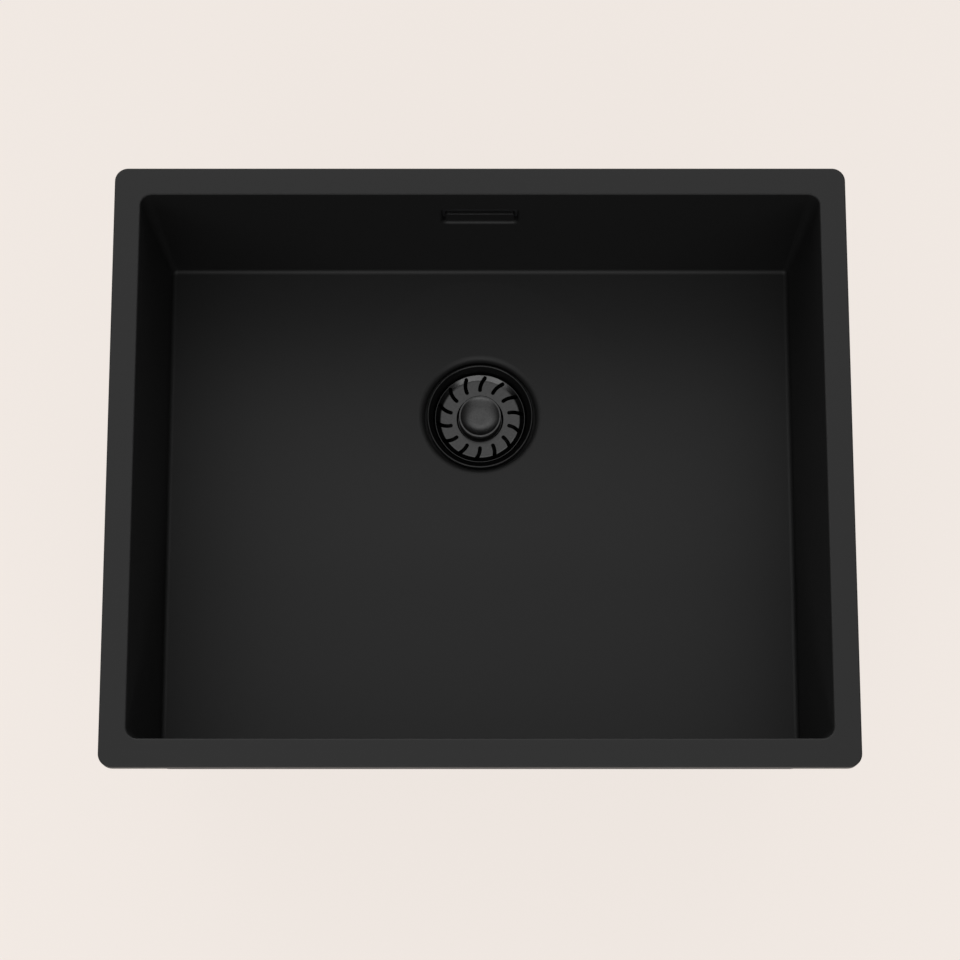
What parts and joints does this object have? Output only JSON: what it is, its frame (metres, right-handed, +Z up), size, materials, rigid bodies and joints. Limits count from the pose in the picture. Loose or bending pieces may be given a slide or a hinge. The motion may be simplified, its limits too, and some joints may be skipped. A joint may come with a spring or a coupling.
{
  "type": "kitchen sink",
  "caption": "Rectangular black composite undermount sink bowl with a flat rim, a lift-out basket strainer plug, a funnel waste underneath and a piped overflow in the back wall.",
  "frame": {"origin": "centre of the rim's top face, in the plane where the worktop rests on the rim", "axes": "+X along the bowl's longer side, +Y towards the back wall with the overflow, +Z up out of the bowl"},
  "size_m": [0.56, 0.4768, 0.2855],
  "materials": {
    "composite": "fine matt mineral texture",
    "cover_black": "satin black",
    "flange_black": "satin black coating",
    "strainer_satin": "satin gunmetal",
    "knob_satin": "satin gunmetal",
    "black_moulding": "fine moulded grain",
    "grey_pipe": "smooth extruded",
    "seal_rubber": "matt",
    "brass": "turned",
    "steel": "turned stainless"
  },
  "bodies": {
    "sink": {"bowl": "composite", "rim_inserts": "brass", "overflow_cover": "cover_black", "overflow_frame": "black_moulding", "overflow_screws": "steel", "overflow_gasket": "seal_rubber", "overflow_elbow": "black_moulding", "pipe_oring": "seal_rubber", "overflow_pipe": "grey_pipe", "pipe_washer": "seal_rubber", "pipe_nut": "black_moulding", "waste_flange": "flange_black", "flange_seal": "seal_rubber", "body_seal": "seal_rubber", "waste_body": "black_moulding", "waste_screw": "steel", "screw_washer": "steel", "body_nut": "brass"},
    "strainer": {"strainer_basket": "strainer_satin", "basket_knob": "knob_satin", "basket_stem": "steel", "seal_plate": "strainer_satin", "plug_seal": "seal_rubber", "stem_nut": "steel"}
  },
  "joints": [
    {"name": "strainer_lift", "type": "slide", "parent": "sink", "child": "strainer", "axis": [0, 0, 1], "range_m": [0, 0.2565]}
  ]
}
